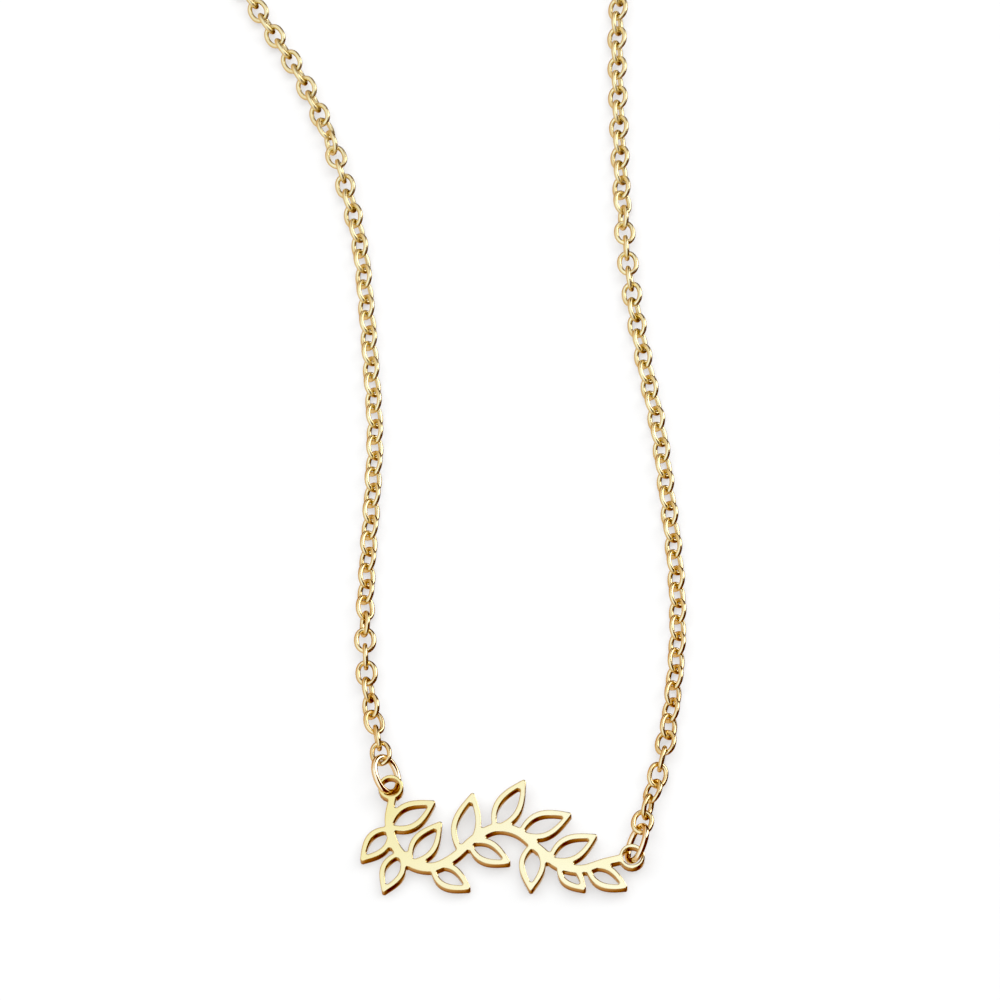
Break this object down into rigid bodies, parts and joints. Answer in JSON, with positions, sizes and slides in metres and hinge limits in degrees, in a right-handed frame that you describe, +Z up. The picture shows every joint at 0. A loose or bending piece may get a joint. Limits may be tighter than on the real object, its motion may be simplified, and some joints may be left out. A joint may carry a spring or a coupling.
{
  "type": "nameplate necklace",
  "caption": "Closed cable-chain necklace laid flat, with an open-cut scroll plate hung between two jump rings and a clasp at the back.",
  "frame": {"origin": "a point in the middle of the opening for the neck, on the surface the necklace lies on", "axes": "+Z up from the surface, -Y towards the plate, +Y towards the clasp, +X to the right as the plate is looked at"},
  "size_m": [0.0655, 0.1743, 0.0036],
  "materials": {
    "plate_gold": "mirror-polished gold plating on the faces, smooth side walls",
    "ring_gold": "polished gold plating on drawn wire",
    "chain_gold": "polished gold plating on drawn wire"
  },
  "bodies": {
    "root": {"nameplate": "plate_gold", "jump_ring_left": "ring_gold", "jump_ring_right": "ring_gold", "chain_left": "chain_gold", "chain_right": "chain_gold", "clasp": "ring_gold"}
  },
  "joints": []
}
